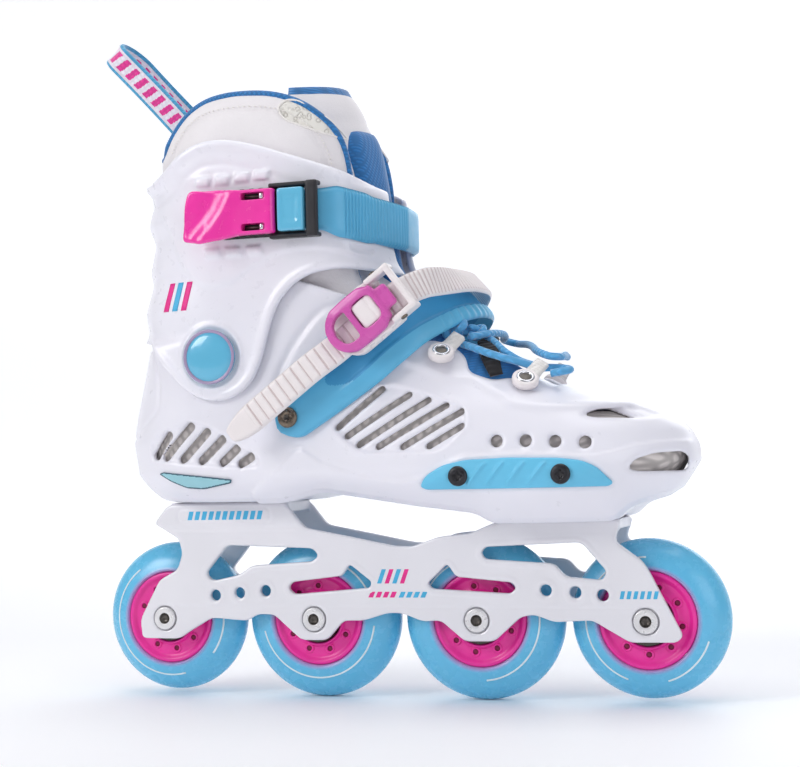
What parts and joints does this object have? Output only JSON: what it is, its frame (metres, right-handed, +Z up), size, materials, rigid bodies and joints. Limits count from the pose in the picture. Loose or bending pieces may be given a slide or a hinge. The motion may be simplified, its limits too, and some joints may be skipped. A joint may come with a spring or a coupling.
{
  "type": "inline skate",
  "caption": "Hard-boot inline skate for the right foot: rockered row of wheels in a metal frame, hinged cuff, soft liner, ratchet instep strap and lever-buckled cuff strap.",
  "frame": {"origin": "bottom centre of the whole skate: Z = 0 is the floor under the middle wheels, X = 0 is midway between the end axles and Y = 0 is the middle of the overall width", "axes": "+X towards the toe, +Y towards the inner side of the right foot, +Z up"},
  "size_m": [0.297, 0.1124, 0.3164],
  "materials": {
    "wheel1_tyre": "glossy light-blue cast urethane",
    "wheel1_hub": "gloss magenta moulding",
    "wheel1_bearing_near": "ground steel",
    "wheel1_bearing_far": "ground steel",
    "wheel1_spacer": "turned",
    "wheel1_axle": "zinc plated",
    "wheel2_tyre": "glossy light-blue cast urethane",
    "wheel2_hub": "gloss magenta moulding",
    "wheel2_bearing_near": "ground steel",
    "wheel2_bearing_far": "ground steel",
    "wheel2_spacer": "turned",
    "wheel2_axle": "zinc plated",
    "wheel3_tyre": "glossy light-blue cast urethane",
    "wheel3_hub": "gloss magenta moulding",
    "wheel3_bearing_near": "ground steel",
    "wheel3_bearing_far": "ground steel",
    "wheel3_spacer": "turned",
    "wheel3_axle": "zinc plated",
    "wheel4_tyre": "glossy light-blue cast urethane",
    "wheel4_hub": "gloss magenta moulding",
    "wheel4_bearing_near": "ground steel",
    "wheel4_bearing_far": "ground steel",
    "wheel4_spacer": "turned",
    "wheel4_axle": "zinc plated",
    "frame": "satin white coating on aluminium",
    "frame_bolt_rear": "zinc plated",
    "frame_bolt_front": "zinc plated",
    "shell": "satin moulded plastic",
    "cuff": "satin moulded plastic",
    "pivot_cap_outer": "satin",
    "guard_outer": "satin",
    "heel_inlay_outer": "gloss",
    "instep_rivet_outer": "dark nickel",
    "guard_screw_outer_rear": "black oxide",
    "lace_loop_outer_rear": "woven tape with a moulded tab",
    "guard_screw_outer_front": "black oxide",
    "lace_loop_outer_front": "woven tape with a moulded tab",
    "pivot_cap_inner": "satin",
    "guard_inner": "satin",
    "heel_inlay_inner": "gloss",
    "instep_rivet_inner": "dark nickel",
    "guard_screw_inner_rear": "black oxide",
    "lace_loop_inner_rear": "woven tape with a moulded tab",
    "guard_screw_inner_front": "black oxide",
    "lace_loop_inner_front": "woven tape with a moulded tab",
    "liner": "synthetic leather over foam",
    "tongue": "synthetic leather over foam",
    "sole_pad": "cloth-faced foam",
    "cuff_strap": "ribbed flexible plastic",
    "cuff_strap_screw": "nickel",
    "cuff_buckle_base": "black moulding",
    "cuff_buckle_lever": "gloss pink moulding",
    "cuff_buckle_slider": "satin",
    "instep_pad": "blue padded strap",
    "instep_ladder": "toothed flexible plastic",
    "instep_buckle": "satin",
    "instep_lever": "gloss mauve moulding",
    "instep_button": "satin",
    "lace": "round braided cord",
    "pull_loop": "woven tape"
  },
  "bodies": {
    "boot": {"wheel1_spacer": "wheel1_spacer", "wheel1_axle": "wheel1_axle", "wheel2_spacer": "wheel2_spacer", "wheel2_axle": "wheel2_axle", "wheel3_spacer": "wheel3_spacer", "wheel3_axle": "wheel3_axle", "wheel4_spacer": "wheel4_spacer", "wheel4_axle": "wheel4_axle", "frame": "frame", "frame_bolt_rear": "frame_bolt_rear", "frame_bolt_front": "frame_bolt_front", "shell": "shell", "guard_outer": "guard_outer", "heel_inlay_outer": "heel_inlay_outer", "instep_rivet_outer": "instep_rivet_outer", "guard_screw_outer_rear": "guard_screw_outer_rear", "lace_loop_outer_rear": "lace_loop_outer_rear", "guard_screw_outer_front": "guard_screw_outer_front", "lace_loop_outer_front": "lace_loop_outer_front", "guard_inner": "guard_inner", "heel_inlay_inner": "heel_inlay_inner", "instep_rivet_inner": "instep_rivet_inner", "guard_screw_inner_rear": "guard_screw_inner_rear", "lace_loop_inner_rear": "lace_loop_inner_rear", "guard_screw_inner_front": "guard_screw_inner_front", "lace_loop_inner_front": "lace_loop_inner_front", "liner": "liner", "tongue": "tongue", "sole_pad": "sole_pad", "instep_pad": "instep_pad", "instep_ladder": "instep_ladder", "instep_buckle": "instep_buckle", "lace": "lace", "pull_loop": "pull_loop"},
    "cuff": {"cuff": "cuff", "pivot_cap_outer": "pivot_cap_outer", "pivot_cap_inner": "pivot_cap_inner", "cuff_strap": "cuff_strap", "cuff_strap_screw": "cuff_strap_screw", "cuff_buckle_base": "cuff_buckle_base", "cuff_buckle_slider": "cuff_buckle_slider"},
    "cuff_lever": {"cuff_buckle_lever": "cuff_buckle_lever"},
    "instep_lever": {"instep_lever": "instep_lever"},
    "instep_button": {"instep_button": "instep_button"},
    "wheel1": {"wheel1_tyre": "wheel1_tyre", "wheel1_hub": "wheel1_hub", "wheel1_bearing_near": "wheel1_bearing_near", "wheel1_bearing_far": "wheel1_bearing_far"},
    "wheel2": {"wheel2_tyre": "wheel2_tyre", "wheel2_hub": "wheel2_hub", "wheel2_bearing_near": "wheel2_bearing_near", "wheel2_bearing_far": "wheel2_bearing_far"},
    "wheel3": {"wheel3_tyre": "wheel3_tyre", "wheel3_hub": "wheel3_hub", "wheel3_bearing_near": "wheel3_bearing_near", "wheel3_bearing_far": "wheel3_bearing_far"},
    "wheel4": {"wheel4_tyre": "wheel4_tyre", "wheel4_hub": "wheel4_hub", "wheel4_bearing_near": "wheel4_bearing_near", "wheel4_bearing_far": "wheel4_bearing_far"}
  },
  "joints": [
    {"name": "wheel1_spin", "type": "hinge", "parent": "boot", "child": "wheel1", "pos_m": [-0.1135, 0.00136, 0.037], "axis": [0, 1, 0], "continuous": true},
    {"name": "wheel2_spin", "type": "hinge", "parent": "boot", "child": "wheel2", "pos_m": [-0.0385, 0.00136, 0.037], "axis": [0, 1, 0], "continuous": true},
    {"name": "wheel3_spin", "type": "hinge", "parent": "boot", "child": "wheel3", "pos_m": [0.0385, 0.00136, 0.037], "axis": [0, 1, 0], "continuous": true},
    {"name": "wheel4_spin", "type": "hinge", "parent": "boot", "child": "wheel4", "pos_m": [0.1135, 0.00136, 0.037], "axis": [0, 1, 0], "continuous": true},
    {"name": "cuff_flex", "type": "hinge", "parent": "boot", "child": "cuff", "pos_m": [-0.0755, 0.00136, 0.1575], "axis": [0, 1, 0], "range_deg": [-2, 8], "deforming": ["liner", "tongue", "pull_loop"]},
    {"name": "cuff_buckle_swing", "type": "hinge", "parent": "cuff", "child": "cuff_lever", "pos_m": [-0.041, -0.05114, 0.2205], "axis": [0, 0, 1], "range_deg": [0, 100]},
    {"name": "instep_lever_swing", "type": "hinge", "parent": "boot", "child": "instep_lever", "pos_m": [0.0132, -0.05424, 0.1799], "axis": [-0.6, 0, 0.8], "range_deg": [0, 65]},
    {"name": "instep_button_press", "type": "slide", "parent": "instep_lever", "child": "instep_button", "axis": [0, 1, 0], "range_m": [0, 0.001]}
  ]
}
